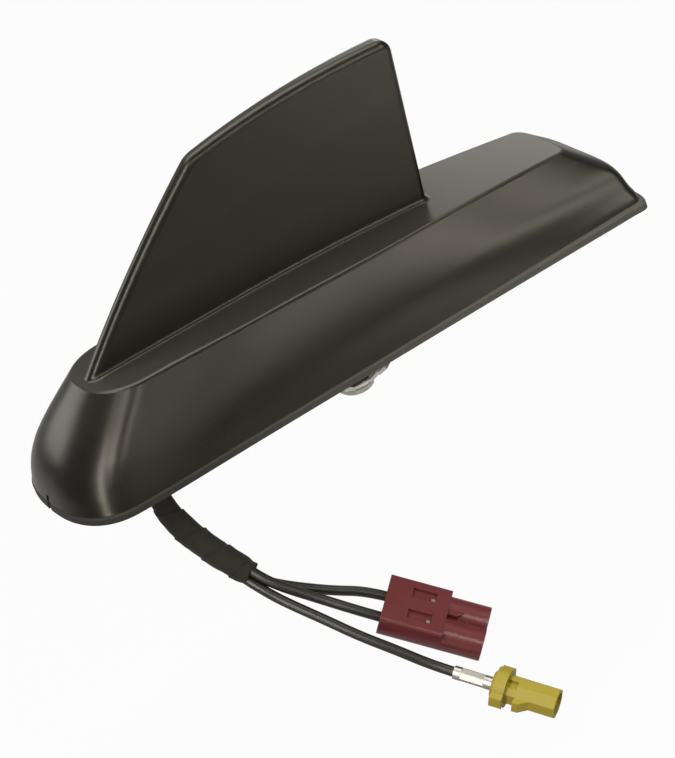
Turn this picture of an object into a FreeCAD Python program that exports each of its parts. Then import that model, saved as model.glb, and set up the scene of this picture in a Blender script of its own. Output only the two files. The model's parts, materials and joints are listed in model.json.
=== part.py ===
"""Roof antenna of a car: a moulded fin cover on a cast base, its gasket, bolt, inner aerials and plugged leads.

Lengths are in millimetres. +X points to the tail, +Y to the right, +Z away from the roof.
The origin is on the fixing bolt's axis, in the plane where the gasket lies on the roof.
A station is a distance behind the nose tip, so X = station - bolt_station.
"""

import FreeCAD
import Part
import math
import os

V = FreeCAD.Vector

# Overall places
bolt_station = 93.4
cable_station = 28.5

# Cover, outside
cover_length = 183.5
cover_half_width = 26.0
gasket_thickness = 2.4
nose_knee = 12.5
nose_round = 8.0
nose_rake = 1.26
nose_rounding_length = 16.5
nose_narrowing = 0.30
shoulder_height = 11.7
shoulder_round = 1.6
side_round = 8.0
wall_lean = 0.065
side_slope = 0.345
tail_lean = 0.165
tail_rake = 0.99
tail_rounding_length = 3.5
tail_narrowing_at_rim = 1.0
tail_narrowing_below = 0.315
tail_narrowing_above = 0.60
widest_station = 95.0
top_height = 27.8
crown_station = 65.0
crown_radius = 830.0
crease_fillet = 1.6
cover_wall = 2.3

# Fin, outside, as corners of its side view before they are rounded
fin_foot_station = 14.8
fin_bend_station = 71.5
fin_bend_height = 70.1
fin_crest_station = 136.5
fin_crest_height = 72.4
fin_heel_station = 129.8
fin_buried_height = 20.0
fin_edge_bulge = 1.8
fin_top_bulge = 2.1
fin_bend_radius = 9.0
fin_crest_radius = 3.6
fin_edge_radius = 2.2
fin_root_fillet = 1.4
fin_foot_half = 2.65
fin_thickening = 0.0178
fin_draft = 0.0231
fin_wall = 1.6

# Drain notch at the nose
notch_width = 1.5
notch_height = 1.9

# Fastening of the cover to the base
front_boss_station = 13.5
front_boss_side = 11.5
rear_boss_station = 150.5
rear_boss_side = 13.0
boss_radius = 3.5
cover_screw_radius = 1.45
cover_screw_reach = 11.0
cover_screw_head_radius = 2.8
cover_screw_head_height = 2.0
screw_clearance = 0.05

# Base casting
base_gap = 0.3
base_thickness = 2.6
base_rib_height = 3.0
base_rib_width = 1.8
base_rib_inset = 1.2
counterbore_depth = 1.2
counterbore_gap = 0.5
tower_half = 7.5
tower_corner = 2.5
tower_depth = 7.5
tower_boss_radius = 6.5

# Gasket
gasket_lip = 0.3
gasket_flare = 0.8
gasket_edge_chamfer = 0.7
gasket_gap = 0.6

# Fixing bolt and its claw
bolt_radius = 3.9
bolt_clearance = 0.1
bolt_end_drop = 16.4
hex_across_flats = 9.6
hex_height = 1.8
flange_radius = 5.3
flange_height = 0.5
claw_thickness = 0.9
claw_ring_radius = 5.5
claw_leg_width = 4.2
claw_legs = 4
claw_turn = -50.0
claw_knee_radius = 8.6
claw_knee_drop = 12.0
claw_step = 0.6
claw_tip_radius = 11.7
claw_tip_drop = 10.4

# Circuit board and what stands on it
board_front_station = 20.0
board_rear_station = 142.0
board_half_width = 17.5
board_corner = 6.0
board_height = 10.0
board_thickness = 1.6
standoff_radius = 3.2
board_screw_radius = 1.2
board_screw_reach = 4.0
board_screw_head_radius = 2.1
board_screw_head_height = 1.5
board_screws_front_station = 25.0
board_screws_front_side = 13.5
board_screws_rear_station = 137.0
board_screws_rear_side = 14.7
satellite_patch_size = 28.0
satellite_patch_height = 6.0
satellite_patch_station = 50.0
gnss_patch_size = 24.0
gnss_patch_height = 4.0
gnss_patch_station = 126.0
feed_pin_radius = 0.6
feed_pin_offset = 2.4
feed_pin_clearance = 0.05
shield_length = 40.0
shield_width = 10.0
shield_height = 4.2
shield_sheet = 0.3
shield_station = 88.0
shield_side = 11.5

# Aerial blade in the fin, its holder and the second element
blade_thickness = 1.0
blade_air = 2.6
blade_foot_front_station = 70.0
blade_foot_rear_station = 106.0
blade_shoulder_height = 29.0
holder_length = 44.0
holder_half_width = 3.0
holder_height = 9.0
holder_floor = 1.5
holder_clearance = 0.1
element_length = 40.0
element_height = 10.0
element_flange = 5.0
element_sheet = 0.5
element_side = 15.5

# Leads
lead_diameter = 2.8
wrap_diameter = 7.0
wrap_clearance = 0.15
lead_pitch_radius = 1.62
arc_share = 0.45
grommet_flange_radius = 7.0
grommet_neck_radius = 5.4
grommet_flange_height = 1.5
grommet_spout_drop = 3.0
grommet_spout_radius = 4.6

# Attitude of the plugs where the leads end
plug_axis = V(0.649, -0.568, -0.506)
plug_up = V(0.2675, -0.4527, 0.8506)
twin_plug_place = V(-31.5, -41.7, -54.7)
lone_plug_axis = V(0.55, -0.737, -0.392)
lone_plug_place = V(-21.3, -71.8, -74.1)

# Two-way plug, along its own axis from its rear face
twin_block_length = 17.2
twin_length = 28.4
twin_top = 4.5
twin_edge = 0.8
twin_pitch = 7.8
twin_barrel_radius = 4.5
twin_bore_radius = 3.3
twin_bore_start = 19.0
twin_window_start = 6.8
twin_window_end = 13.4
twin_window_half = 1.6
twin_window_depth = 0.9
twin_eye_length = 1.5
twin_eye_half = 0.8
twin_lance_top = 3.9
twin_web_drop = 0.8
twin_web_setback = 2.5
twin_key_length = 4.6
twin_key_height = 2.8
twin_key_sheet = 1.2

# One-way plug
lone_collar_radius = 3.6
lone_collar_length = 0.8
lone_flange_length = 3.4
lone_flange_radius = 5.2
lone_tab_half = 2.2
lone_tab_reach = 6.3
lone_length = 18.0
lone_barrel_half = 3.8
lone_barrel_corner = 2.2
lone_bore_radius = 3.0
lone_bore_start = 8.0
lone_lock_half = 1.6
lone_lock_length = 4.0
lone_lock_height = 2.0
lone_window_half = 1.4
lone_window_length = 2.8
lone_window_depth = 0.9

# Contacts in the plugs
contact_radius = 2.35
contact_bore = 1.9
contact_gap = 0.1
contact_back = 1.2
contact_recess = 4.0
crimp_stem_length = 8.0
insulator_length = 6.0
insulator_gap = 0.05
pin_radius = 0.45
pin_gap = 0.05
ferrule_length = 11.0
ferrule_radius = 1.85
ferrule_hex_flats = 3.35
ferrule_hex_start = 2.0
ferrule_hex_length = 6.5
ferrule_gap = 0.05

# Routes of the leads: first and last points are worked out from the pieces they meet
wrap_route = [
    V(-64.9, 0.0, -8.0),
    V(-63.4, -4.0, -19.6),
    V(-60.6, -12.0, -29.6),
    V(-56.4, -19.9, -36.7),
]
far_lead_route = [
    V(-54.0, -21.2, -39.6),
    V(-51.6, -23.5, -41.8),
    V(-47.0, -26.6, -44.7),
    V(-39.5, -31.6, -48.6),
]
near_lead_route = [V(-54.4, -23.6, -37.9), V(-51.3, -27.5, -41.5), V(-45.6, -32.0, -46.5)]
satellite_lead_route = [
    V(-56.2, -23.3, -40.1),
    V(-53.4, -29.7, -43.8),
    V(-47.3, -38.5, -50.2),
    V(-42.2, -46.2, -55.8),
    V(-36.5, -52.9, -61.2),
]
plug_straight = 5.0
crimp_straight = 9.0

# Heights worked out from the stack
rim = gasket_thickness
base_top = rim + base_thickness
board_top = board_height + board_thickness
hull_reach = top_height + 3.5
loft_levels = 10
nose_points = 7
side_points = 10
side_crowding = 1.9
tail_points = 5
nose_power_x = 2 / 2.3
nose_power_y = 2 / 2.5
tail_power_y = 2 / 5
draft_lift = 0.41
far_out = 200.0


def at(station, side=0.0, height=0.0):
    return V(station - bolt_station, side, height)


def cylinder(place, radius, height):
    return Part.makeCylinder(radius, height, place)


def block(x0, x1, y0, y1, z0, z1):
    return Part.makeBox(x1 - x0, y1 - y0, z1 - z0, V(x0, y0, z0))


def prism(points, direction):
    return Part.Face(Part.makePolygon(points + points[:1])).extrude(direction)


def soft(distance, radius):
    """A ramp that starts at zero with a rounded knee."""
    return 0.5 * (distance + math.sqrt(distance * distance + radius * radius))


def ramp(height, knee, radius):
    return soft(height - knee, radius) - soft(rim - knee, radius)


# Plan outline of the boat-shaped body at a height: blunt nose, nearly parallel sides, square tail
def half_outline(height, inset=0.0, flare=0.0):
    above = height - rim
    nose = nose_rake * ramp(height, nose_knee, nose_round) + wall_lean * above + inset
    tail_run = tail_rake * ramp(height, shoulder_height, shoulder_round)
    tail = cover_length - tail_lean * above - tail_run - inset + flare
    side = cover_half_width - wall_lean * above - side_slope * ramp(height, shoulder_height, side_round) - inset
    narrow = tail_narrowing_at_rim - 2 * flare + tail_narrowing_below * above
    narrow += tail_narrowing_above * ramp(height, shoulder_height, shoulder_round)

    def half_width(station):
        behind = max(0.0, (station - widest_station) / (cover_length - widest_station))
        ahead = max(0.0, (widest_station - station) / widest_station)
        return side - narrow * behind ** 2 - nose_narrowing * above * ahead ** 2

    nose_end = nose + nose_rounding_length
    tail_start = tail - tail_rounding_length
    points = []
    for step in range(nose_points):
        turn = 0.5 * math.pi * step / nose_points
        x = nose_end - nose_rounding_length * math.cos(turn) ** nose_power_x
        points.append((x, half_width(nose_end) * math.sin(turn) ** nose_power_y))
    for step in range(side_points):
        share = 1 - (1 - step / side_points) ** side_crowding
        x = nose_end + (tail_start - nose_end) * share
        points.append((x, half_width(x)))
    for step in range(tail_points + 1):
        turn = 0.5 * math.pi * step / tail_points
        y = half_width(tail_start) * max(0.0, math.cos(turn)) ** tail_power_y
        points.append((tail_start + tail_rounding_length * math.sin(turn), y))
    points[-1] = (tail, 0.0)
    return points


def full_loop(half):
    return half + [(x, -y) for x, y in half[-2:0:-1]]


def loop_parameters():
    """Chord lengths round one outline, shared by all outlines so that the loft stays light."""
    loop = full_loop(half_outline(shoulder_height))
    lengths = [0.0]
    for a, b in zip(loop, loop[1:] + loop[:1]):
        lengths.append(lengths[-1] + math.hypot(b[0] - a[0], b[1] - a[1]))
    return lengths


def outline(height, inset=0.0, drawn_at=None, flare=0.0):
    loop = full_loop(half_outline(height, inset, flare))
    z = height if drawn_at is None else drawn_at
    curve = Part.BSplineCurve()
    points = [at(x, y, z) for x, y in loop]
    curve.interpolate(Points=points, PeriodicFlag=True, Parameters=loop_parameters())
    return Part.Wire(curve.toShape())


def plate(inset, drawn_at, thickness, shape_height=None, flare=0.0):
    height = rim if shape_height is None else shape_height
    return Part.Face(outline(height, inset, drawn_at, flare)).extrude(V(0, 0, thickness))


def hull(inset=0.0):
    """The body of the cover below its top, or its inside when inset by the wall."""
    lift = draft_lift * inset
    bottom = rim
    heights = [bottom + (hull_reach - bottom) * k / (loft_levels - 1) for k in range(loft_levels)]
    sections = [outline(z + lift, inset, z) for z in heights]
    return Part.makeLoft(sections, True, False).cut(above_top(inset))


def above_top(drop):
    """All that lies over the top: level to the crown's start, then falling along an arc to the tail."""
    level = top_height - drop
    sweep = math.asin((cover_length - crown_station) / crown_radius)

    def on_crown(angle):
        x = crown_station + crown_radius * math.sin(angle)
        return at(x, 0, level - crown_radius * (1 - math.cos(angle)))

    front = at(-far_out, 0, level)
    start = at(crown_station, 0, level)
    end = on_crown(1.2 * sweep)
    lid_back = V(end.x, 0, far_out)
    lid_front = V(front.x, 0, far_out)
    edges = [
        Part.LineSegment(front, start).toShape(),
        Part.Arc(start, on_crown(0.6 * sweep), end).toShape(),
        Part.LineSegment(end, lid_back).toShape(),
        Part.LineSegment(lid_back, lid_front).toShape(),
        Part.LineSegment(lid_front, front).toShape(),
    ]
    face = Part.Face(Part.Wire(edges))
    face.translate(V(0, -far_out, 0))
    return face.extrude(V(0, 2 * far_out, 0))


# Fin: a slab that thickens to the rear, with a raked leading edge, a crowned top and a near-upright rear edge
def fin_half(station, height):
    behind = station - fin_foot_station
    above = height - fin_buried_height
    return fin_foot_half + fin_thickening * behind - fin_draft * above


def fin_widest():
    return fin_half(fin_heel_station, fin_buried_height)


def within_fin_side(sign, side_inset):
    """All that lies inside one of the fin's two flat sides."""
    corners = []
    for station, height in ((0, 0), (far_out, 0), (far_out, far_out), (0, far_out)):
        corners.append(at(station, sign * (fin_half(station, height) - side_inset), height))
    return prism(corners, V(0, -sign * far_out, 0))


def fin_corners(inset):
    corners = [
        at(fin_foot_station, 0, fin_buried_height),
        at(fin_bend_station, 0, fin_bend_height),
        at(fin_crest_station, 0, fin_crest_height),
        at(fin_heel_station, 0, fin_buried_height),
    ]
    if not inset:
        return corners
    normals = []
    for a, b in zip(corners, corners[1:] + corners[:1]):
        along = (b - a).normalize()
        normals.append(V(along.z, 0, -along.x))
    moved = []
    for k, corner in enumerate(corners):
        n1, n2 = normals[k - 1], normals[k]
        moved.append(corner + (n1 + n2) * (inset / (1 + n1.dot(n2))))
    for k in (0, 3):
        edge = normals[0] if k == 0 else normals[2]
        moved[k] = corners[k] + V(inset / edge.x, 0, 0)
    return moved


def bulged_edge(a, b, bulge):
    along = (b - a).normalize()
    outward = V(-along.z, 0, along.x)
    return Part.Arc(a, (a + b) * 0.5 + outward * bulge, b).toShape()


def fin_slab(inset=0.0, side_inset=0.0):
    foot, bend, crest, heel = fin_corners(inset)
    edges = [
        bulged_edge(foot, bend, fin_edge_bulge),
        bulged_edge(bend, crest, fin_top_bulge),
        Part.LineSegment(crest, heel).toShape(),
        Part.LineSegment(heel, foot).toShape(),
    ]
    face = Part.Face(Part.Wire(edges))
    face.translate(V(0, -2 * fin_widest(), 0))
    side_view = face.extrude(V(0, 4 * fin_widest(), 0))
    return side_view.common(within_fin_side(1, side_inset)).common(within_fin_side(-1, side_inset))


def crosswise_edges(shape, low):
    found = []
    for edge in shape.Edges:
        box = edge.BoundBox
        if box.ZMin > low and box.XLength < 0.01 and box.ZLength < 0.01:
            found.append(edge)
    return sorted(found, key=lambda edge: edge.BoundBox.XMin)


def rounded_fin():
    slab = fin_slab()
    slab = slab.makeFillet(fin_bend_radius, crosswise_edges(slab, top_height)[:1])
    slab = slab.makeFillet(fin_crest_radius, crosswise_edges(slab, top_height)[-1:])
    rim_edges = []
    for edge in slab.Edges:
        box = edge.BoundBox
        if box.ZMax > top_height and (box.YMin > 0.5 or box.YMax < -0.5):
            rim_edges.append(edge)
    return slab.makeFillet(fin_edge_radius, rim_edges)


def cover_outside():
    whole = hull().fuse(rounded_fin())
    root = []
    for edge in whole.Edges:
        box = edge.BoundBox
        low_enough = box.ZMax < top_height + 0.1 and box.ZMin > fin_buried_height
        if low_enough and max(-box.YMin, box.YMax) < fin_widest() + 0.1:
            root.append(edge)
    whole = whole.makeFillet(fin_root_fillet, root)
    crease = []
    for edge in whole.Edges:
        box = edge.BoundBox
        on_top = box.ZMax < top_height + 0.1 and box.ZMin > shoulder_height
        beyond_fin = max(-box.YMin, box.YMax) > fin_widest() + 2 * fin_root_fillet
        if on_top and beyond_fin and box.XLength > 0.1:
            crease.append(edge)
    return whole.makeFillet(crease_fillet, crease)


def boss_places(height):
    places = []
    for side in (-1, 1):
        places.append(at(front_boss_station, side * front_boss_side, height))
        places.append(at(rear_boss_station, side * rear_boss_side, height))
    return places


def drain_notch():
    end = at(nose_rounding_length / 2).x
    return block(-far_out, end, -notch_width / 2, notch_width / 2, 0, rim + notch_height)


def fin_cover():
    cavity = hull(cover_wall).fuse(fin_slab(fin_wall, fin_wall))
    shell = cover_outside().cut(cavity)
    room = hull(0.5 * cover_wall)
    for place in boss_places(base_top):
        boss = cylinder(place, boss_radius, top_height).common(room)
        pilot = cylinder(place, cover_screw_radius + screw_clearance, cover_screw_reach + screw_clearance)
        shell = shell.fuse(boss).cut(pilot)
    return shell.cut(drain_notch())


# Base casting: floor with a rim rib, bolt tower, board standoffs, screw and cable holes
def standoff_places(height):
    places = []
    for side in (-1, 1):
        places.append(at(board_screws_front_station, side * board_screws_front_side, height))
        places.append(at(board_screws_rear_station, side * board_screws_rear_side, height))
    return places


def rounded_square(half, corner, z0, z1):
    body = block(-half, half, -half, half, z0, z1)
    return body.makeFillet(corner, [e for e in body.Edges if e.BoundBox.ZLength > 0.5 * (z1 - z0)])


def base_plate():
    inset = cover_wall + base_gap
    shape_height = base_top + base_rib_height + draft_lift * cover_wall
    body = plate(inset, rim, base_thickness, shape_height)
    outer = plate(inset + base_rib_inset, base_top, base_rib_height, shape_height)
    inner = plate(inset + base_rib_inset + base_rib_width, base_top, base_rib_height, shape_height)
    body = body.fuse(outer.cut(inner))
    body = body.fuse(rounded_square(tower_half, tower_corner, -tower_depth, rim))
    body = body.fuse(cylinder(V(0, 0, base_top), tower_boss_radius, board_height - 0.5 - base_top))
    for place in standoff_places(base_top):
        body = body.fuse(cylinder(place, standoff_radius, board_height - base_top))
    body = body.cut(cylinder(V(0, 0, -tower_depth), bolt_radius + bolt_clearance, tower_depth + base_top + 2))
    for place in standoff_places(board_height - board_screw_reach):
        body = body.cut(cylinder(place, board_screw_radius + screw_clearance, board_screw_reach))
    for place in boss_places(rim):
        body = body.cut(cylinder(place, cover_screw_radius + 0.2, base_thickness))
        body = body.cut(cylinder(place, cover_screw_head_radius + counterbore_gap, counterbore_depth))
        room = cylinder(place + V(0, 0, base_thickness), boss_radius + counterbore_gap, base_rib_height)
        body = body.cut(room)
    hole = cylinder(at(cable_station, 0, rim), grommet_neck_radius, base_thickness)
    return body.cut(hole)


def roof_gasket():
    pad = plate(-gasket_lip, 0, gasket_thickness, flare=gasket_flare)
    top_edges = [e for e in pad.Edges if e.BoundBox.ZMin > gasket_thickness - 0.01]
    pad = pad.makeChamfer(gasket_edge_chamfer, top_edges)
    pad = pad.cut(rounded_square(tower_half + gasket_gap, tower_corner + gasket_gap, 0, gasket_thickness))
    pad = pad.cut(cylinder(at(cable_station), grommet_flange_radius + gasket_gap, gasket_thickness))
    for place in boss_places(0):
        pad = pad.cut(cylinder(place, cover_screw_head_radius + counterbore_gap + gasket_gap, gasket_thickness))
    return pad.cut(drain_notch())


def screw(place, shank_radius, reach, head_radius, head_height, up):
    """A pan-head screw: the shank goes up from its head, or down from it."""
    sign = 1 if up else -1
    profile = [
        V(0, 0, -sign * head_height),
        V(0.7 * head_radius, 0, -sign * head_height),
        V(head_radius, 0, -sign * 0.55 * head_height),
        V(head_radius, 0, 0),
        V(shank_radius, 0, 0),
        V(shank_radius, 0, sign * (reach - shank_radius)),
        V(0.3 * shank_radius, 0, sign * reach),
        V(0, 0, sign * reach),
    ]
    body = Part.Face(Part.makePolygon(profile + profile[:1])).revolve(V(0, 0, 0), V(0, 0, 1), 360)
    slot = Part.makeBox(0.9 * head_radius, 0.18 * head_radius, 0.4 * head_height)
    slot.translate(V(-0.45 * head_radius, -0.09 * head_radius, -0.2 * head_height - sign * head_height))
    cross = slot.copy()
    cross.rotate(V(0, 0, 0), V(0, 0, 1), 90)
    body = body.cut(slot.fuse(cross))
    body.translate(place)
    return body


def cover_screws():
    seat = rim + counterbore_depth
    reach = base_top - seat + cover_screw_reach
    screws = []
    for place in boss_places(seat):
        screws.append(
            screw(place, cover_screw_radius, reach, cover_screw_head_radius, cover_screw_head_height, True)
        )
    return Part.makeCompound(screws)


def board_screws():
    reach = board_thickness + board_screw_reach - 2 * screw_clearance
    screws = []
    for place in standoff_places(board_top):
        screws.append(
            screw(place, board_screw_radius, reach, board_screw_head_radius, board_screw_head_height, False)
        )
    return Part.makeCompound(screws)


# Fixing bolt from below: hexagon head with a flange, threaded into the tower
def hexagon(flats, z0, z1):
    radius = flats / math.sqrt(3)
    points = []
    for k in range(6):
        angle = math.pi / 3 * k
        points.append(V(radius * math.cos(angle), radius * math.sin(angle), z0))
    return prism(points, V(0, 0, z1 - z0))


def flange_top():
    return -bolt_end_drop + hex_height + flange_height


def mounting_bolt():
    head = hexagon(hex_across_flats, -bolt_end_drop, -bolt_end_drop + hex_height)
    end = V(0, 0, -bolt_end_drop)
    head = head.common(Part.makeCone(0.46 * hex_across_flats, 0.66 * hex_across_flats, hex_height, end))
    seat = V(0, 0, -bolt_end_drop + hex_height)
    skirt = Part.makeCone(flange_radius, 0.9 * flange_radius, flange_height, seat)
    shank = cylinder(V(0, 0, flange_top()), bolt_radius, base_top - flange_top())
    return head.fuse(skirt).fuse(shank).removeSplitter()


# Spring-steel claw: a ring on the bolt's flange with stepped legs that spread below the tower
def bent_strip(points, thickness, width):
    """A strip of sheet that follows points in the XZ plane, with its bends mitred."""
    normals = []
    for a, b in zip(points, points[1:]):
        along = (b - a).normalize()
        normals.append(V(-along.z, 0, along.x))
    offsets = []
    for k, point in enumerate(points):
        n1 = normals[max(k - 1, 0)]
        n2 = normals[min(k, len(normals) - 1)]
        offsets.append(point + (n1 + n2) * (thickness / (1 + n1.dot(n2))))
    side = points + offsets[::-1]
    strip = prism(side, V(0, width, 0))
    strip.translate(V(0, -width / 2, 0))
    return strip


def retaining_claw():
    z = flange_top()
    ring = cylinder(V(0, 0, z), claw_ring_radius, claw_thickness)
    ring = ring.cut(cylinder(V(0, 0, z), bolt_radius + 4 * bolt_clearance, claw_thickness))
    route = [
        V(claw_ring_radius - 1.0, 0, z),
        V(claw_ring_radius + 0.3, 0, z),
        V(claw_knee_radius, 0, -claw_knee_drop),
        V(claw_knee_radius + claw_step, 0, -claw_knee_drop),
        V(claw_tip_radius, 0, -claw_tip_drop),
    ]
    leg = bent_strip(route, claw_thickness, claw_leg_width)
    claw = ring
    for k in range(claw_legs):
        turned = leg.copy()
        turned.rotate(V(0, 0, 0), V(0, 0, 1), claw_turn + 360 / claw_legs * k)
        claw = claw.fuse(turned)
    return claw.removeSplitter()


# Board, patches, shield and aerials
def main_board():
    x0, x1 = at(board_front_station).x, at(board_rear_station).x
    board = block(x0, x1, -board_half_width, board_half_width, board_height, board_top)
    upright = [e for e in board.Edges if e.BoundBox.ZLength > 0.5 * board_thickness]
    board = board.makeFillet(board_corner, [e for e in upright if e.BoundBox.XMax < x0 + 1])
    for place in standoff_places(board_height):
        board = board.cut(cylinder(place, board_screw_radius + 0.2, board_thickness))
    for pin in pin_places(board_height):
        board = board.cut(cylinder(pin, feed_pin_radius + feed_pin_clearance, board_thickness))
    return board


def pin_places(height):
    return [at(satellite_patch_station, feed_pin_offset, height), at(gnss_patch_station, feed_pin_offset, height)]


def patch(station, size, height):
    x = at(station).x
    half = size / 2
    body = block(x - half, x + half, -half, half, board_top, board_top + height)
    upright = [e for e in body.Edges if e.BoundBox.ZLength > 0.5 * height]
    body = body.makeChamfer(0.06 * size, upright[:1] + upright[-1:])
    hole = cylinder(at(station, feed_pin_offset, board_top), feed_pin_radius + feed_pin_clearance, height)
    return body.cut(hole)


def satellite_patch():
    return patch(satellite_patch_station, satellite_patch_size, satellite_patch_height)


def gnss_patch():
    return patch(gnss_patch_station, gnss_patch_size, gnss_patch_height)


def patch_pins():
    pins = []
    for place, height in zip(pin_places(board_height), (satellite_patch_height, gnss_patch_height)):
        stem = cylinder(place, feed_pin_radius, board_thickness + height)
        head = cylinder(place + V(0, 0, board_thickness + height), 2 * feed_pin_radius, 0.4)
        pins.append(stem.fuse(head))
    return Part.makeCompound(pins)


def amplifier_shield():
    x = at(shield_station).x
    y0 = shield_side - shield_width / 2
    y1 = shield_side + shield_width / 2
    half = shield_length / 2
    can = block(x - half, x + half, y0, y1, board_top, board_top + shield_height)
    can = can.makeFillet(0.8, [e for e in can.Edges if e.BoundBox.ZMin > board_top + 0.1])
    room = block(
        x - half + shield_sheet,
        x + half - shield_sheet,
        y0 + shield_sheet,
        y1 - shield_sheet,
        board_top,
        board_top + shield_height - shield_sheet,
    )
    return can.cut(room)


def holder_middle():
    return at(0.5 * (blade_foot_front_station + blade_foot_rear_station)).x


def blade_holder():
    x = holder_middle()
    half = holder_length / 2
    side = holder_half_width
    body = block(x - half, x + half, -side, side, board_top, board_top + holder_height)
    long_edges = [e for e in body.Edges if e.BoundBox.XLength > 1]
    body = body.makeChamfer(1.2, [e for e in long_edges if e.BoundBox.ZMin > board_top + 1])
    slot_half = blade_thickness / 2 + holder_clearance
    x0 = at(blade_foot_front_station).x - holder_clearance
    x1 = at(blade_foot_rear_station).x + holder_clearance
    return body.cut(block(x0, x1, -slot_half, slot_half, board_top + holder_floor, far_out))


def cellular_blade():
    """A thin board that fills the fin's side view with air round it, and steps down to a foot in the holder."""
    inset = fin_wall + blade_air
    foot, bend, crest, heel = fin_corners(inset)
    z0 = board_top + holder_floor
    low = blade_shoulder_height
    share = (low - foot.z) / (bend.z - foot.z)
    front = foot + (bend - foot) * share
    share = (low - heel.z) / (crest.z - heel.z)
    rear = heel + (crest - heel) * share
    x0 = at(blade_foot_front_station).x
    x1 = at(blade_foot_rear_station).x
    points = [V(x0, 0, z0), V(x0, 0, low), front, bend, crest, rear, V(x1, 0, low), V(x1, 0, z0)]
    blade = prism(points, V(0, blade_thickness, 0))
    blade.translate(V(0, -blade_thickness / 2, 0))
    return blade


def second_cell_element():
    x = at(shield_station).x
    half = element_length / 2
    route = [
        V(-element_side + 2.5, 0, board_top),
        V(-element_side, 0, board_top),
        V(-element_side, 0, board_top + element_height),
        V(-element_side + element_flange, 0, board_top + element_height),
    ]
    strip = bent_strip(route, -element_sheet, element_length)
    strip.rotate(V(0, 0, 0), V(0, 0, 1), 90)
    strip.translate(V(x, 0, 0))
    foot_gap = block(x - 0.35 * half, x + 0.35 * half, -far_out, 0, board_top, board_top + 0.5 * element_height)
    return strip.cut(foot_gap)


# Leads: straight runs joined by tangent arcs, each as large as its two runs allow
def lead_path(points, name):
    edges = []
    length = 0.0
    start = points[0]
    radii = []
    for before, corner, after in zip(points, points[1:], points[2:]):
        into = (corner - before).normalize()
        out_of = (after - corner).normalize()
        turn = into.getAngle(out_of)
        reach = arc_share * min((corner - before).Length, (after - corner).Length)
        radius = reach / math.tan(turn / 2)
        radii.append(round(radius, 1))
        first = corner - into * reach
        last = corner + out_of * reach
        inward = (out_of - into).normalize()
        middle = corner + inward * (radius / math.cos(turn / 2) - radius)
        edges.append(Part.LineSegment(start, first).toShape())
        edges.append(Part.Arc(first, middle, last).toShape())
        length += (first - start).Length + radius * turn
        start = last
    edges.append(Part.LineSegment(start, points[-1]).toShape())
    length += (points[-1] - start).Length
    print(name, "length", round(length, 1), "radii", radii)
    return Part.Wire(edges), length


def lead_tube(points, diameter, name):
    path, length = lead_path(points, name)
    along = (points[1] - points[0]).normalize()
    section = Part.Wire(Part.makeCircle(diameter / 2, points[0], along))
    tube = path.makePipeShell([section], True, False)
    expected = math.pi * diameter ** 2 / 4 * length
    print(name, "volume share", round(tube.Volume / expected, 4))
    return tube


def wrap_points():
    return [at(cable_station, 0, rim)] + wrap_route


def wrap_end():
    return wrap_route[-1], (wrap_route[-1] - wrap_route[-2]).normalize()


def lead_start(angle):
    end, along = wrap_end()
    up = (plug_up - along * plug_up.dot(along)).normalize()
    side = along.cross(up) * -1
    turn = math.radians(angle)
    return end + side * (lead_pitch_radius * math.cos(turn)) + up * (lead_pitch_radius * math.sin(turn))


def frame(place, axis, up):
    """Placement of a plug: its local X runs along the axis, its local Z is as near to up as it can be."""
    x = V(axis).normalize()
    y = up.cross(x).normalize()
    z = x.cross(y)
    matrix = FreeCAD.Matrix(x.x, y.x, z.x, place.x, x.y, y.y, z.y, place.y, x.z, y.z, z.z, place.z, 0, 0, 0, 1)
    return FreeCAD.Placement(matrix)


def twin_frame():
    return frame(twin_plug_place, plug_axis, plug_up)


def lone_frame():
    return frame(lone_plug_place, lone_plug_axis, plug_up)


def moved(shape, placement):
    result = shape.copy()
    result.Placement = placement.multiply(result.Placement)
    return result


def lead_points(angle, route, placement, port, depth, straight):
    """A lead's whole route: out of the wrap, along its own points, then straight into its plug."""
    mouth = placement.multVec(V(depth, port, 0))
    before = placement.multVec(V(-straight, port, 0))
    start = lead_start(angle)
    _, along = wrap_end()
    first = start + along * (route[0] - start).dot(along)
    return [start, first] + route[1:] + [before, mouth]


def leads():
    port = twin_pitch / 2
    far = lead_points(-30, far_lead_route, twin_frame(), port, contact_recess, plug_straight)
    near = lead_points(90, near_lead_route, twin_frame(), -port, contact_recess, plug_straight)
    stem = crimp_stem_length
    satellite = lead_points(210, satellite_lead_route, lone_frame(), 0, -stem, stem + crimp_straight)
    return {
        "cell_lead_far": lead_tube(far, lead_diameter, "cell_lead_far"),
        "cell_lead_near": lead_tube(near, lead_diameter, "cell_lead_near"),
        "satellite_lead": lead_tube(satellite, lead_diameter, "satellite_lead"),
    }


def harness_wrap():
    return lead_tube(wrap_points(), wrap_diameter, "harness_wrap")


def lead_tails():
    """The three leads inside the base, from the wrap's end to the underside of the board."""
    tails = []
    for k in range(3):
        turn = math.radians(90 + 120 * k)
        offset = V(lead_pitch_radius * math.cos(turn), lead_pitch_radius * math.sin(turn), 0)
        tails.append(cylinder(at(cable_station, 0, rim) + offset, lead_diameter / 2 - 0.02, board_height - rim))
    return Part.makeCompound(tails)


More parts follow.
